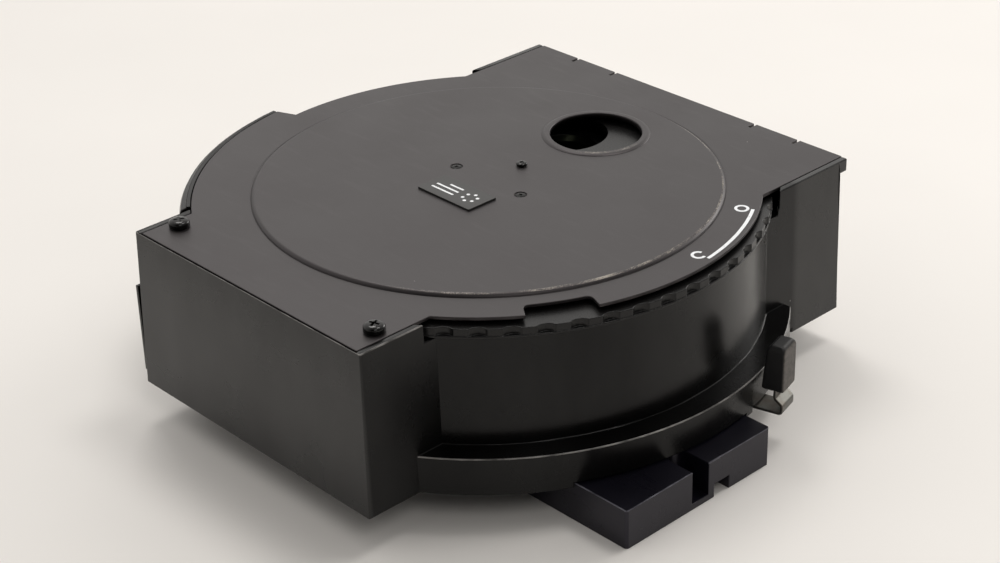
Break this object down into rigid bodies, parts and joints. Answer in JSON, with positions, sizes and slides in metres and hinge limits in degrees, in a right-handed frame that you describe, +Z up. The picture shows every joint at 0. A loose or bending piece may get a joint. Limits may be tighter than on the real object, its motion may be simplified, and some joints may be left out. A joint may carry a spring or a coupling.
{
  "type": "filter cube turret",
  "caption": "Rotary turret for fluorescence filter cubes: black cast housing, scalloped wheel, hinged loading door, shutter lever and mount block.",
  "frame": {"origin": "on the turret's axis, at the underside of the mount block", "axes": "+Z up along the turret's axis; +X from the axis towards the light hole and the rear box; -Y towards the shutter lever's side"},
  "size_m": [0.2052, 0.2165, 0.0729],
  "materials": {
    "black_paint": "fine satin black paint on die-cast metal",
    "block_finish": "black anodised, milled",
    "label_metal": "dark printed plate, matte",
    "black_steel": "blackened steel",
    "steel": "satin nickel plate",
    "black_anodised": "black anodised, turned",
    "brass": "turned",
    "lever_steel": "zinc plated strip, worn",
    "rubber": "matte moulded rubber",
    "filter_glass": "coated interference filter",
    "mirror_glass": "dichroic coating"
  },
  "bodies": {
    "housing": {"housing_shell": "black_paint", "top_cover": "black_paint", "mount_block": "block_finish", "label_plate": "label_metal", "cover_screw_near": "black_steel", "cover_screw_far": "black_steel", "centre_screw_1": "steel", "centre_screw_2": "black_steel", "centre_screw_3": "black_steel", "block_screw_1": "steel", "block_screw_2": "steel", "block_screw_3": "steel", "block_screw_4": "steel", "turret_axle": "steel", "rear_port_ring": "black_anodised", "floor_port_ring": "black_anodised", "door_hinge_leaf": "black_steel", "door_hinge_pin": "steel", "shutter_guide_screw_1": "steel", "shutter_guide_screw_2": "steel", "shutter_guide_screw_3": "steel", "detent_post": "steel", "detent_spring": "steel"},
    "turret": {"turret_wheel": "black_anodised", "turret_hub": "black_anodised", "lower_bush": "brass", "upper_bush": "brass", "turret_base": "black_anodised", "turret_post_1": "steel", "turret_post_2": "steel", "turret_post_3": "steel", "filter_cube_1": "black_anodised", "filter_cube_2": "black_anodised", "filter_cube_3": "black_anodised", "filter_cube_4": "black_anodised", "filter_cube_5": "black_anodised", "filter_cube_6": "black_anodised", "exciter_filter_1": "filter_glass", "exciter_filter_2": "filter_glass", "exciter_filter_3": "filter_glass", "exciter_filter_4": "filter_glass", "exciter_filter_5": "filter_glass", "exciter_filter_6": "filter_glass", "dichroic_1": "mirror_glass", "dichroic_2": "mirror_glass", "dichroic_3": "mirror_glass", "dichroic_4": "mirror_glass", "dichroic_5": "mirror_glass", "dichroic_6": "mirror_glass"},
    "door": {"loading_door": "black_paint"},
    "shutter": {"shutter_blade": "steel", "lever_strip": "lever_steel", "lever_rivet_1": "lever_steel", "lever_rivet_2": "lever_steel", "lever_cap": "rubber"},
    "detent": {"detent_arm": "steel", "roller_pin": "steel"},
    "roller": {"detent_roller": "brass"}
  },
  "joints": [
    {"name": "turret_spin", "type": "hinge", "parent": "housing", "child": "turret", "pos_m": [0, 0, 0], "axis": [0, 0, 1], "continuous": true},
    {"name": "door_swing", "type": "hinge", "parent": "housing", "child": "door", "pos_m": [-0.0872, 0.0614, 0], "axis": [0, 0, 1], "range_deg": [0, 100]},
    {"name": "shutter_swing", "type": "hinge", "parent": "housing", "child": "shutter", "pos_m": [0, 0, 0], "axis": [0, 0, 1], "range_deg": [0, 24]},
    {"name": "detent_swing", "type": "hinge", "parent": "housing", "child": "detent", "pos_m": [-0.09, -0.034, 0], "axis": [0, 0, 1], "range_deg": [0, 4], "stiffness_Nm_per_rad": 0.4, "springref_deg": -5.73},
    {"name": "roller_spin", "type": "hinge", "parent": "detent", "child": "roller", "pos_m": [-0.08225, 0, 0], "axis": [0, 0, 1], "continuous": true}
  ]
}
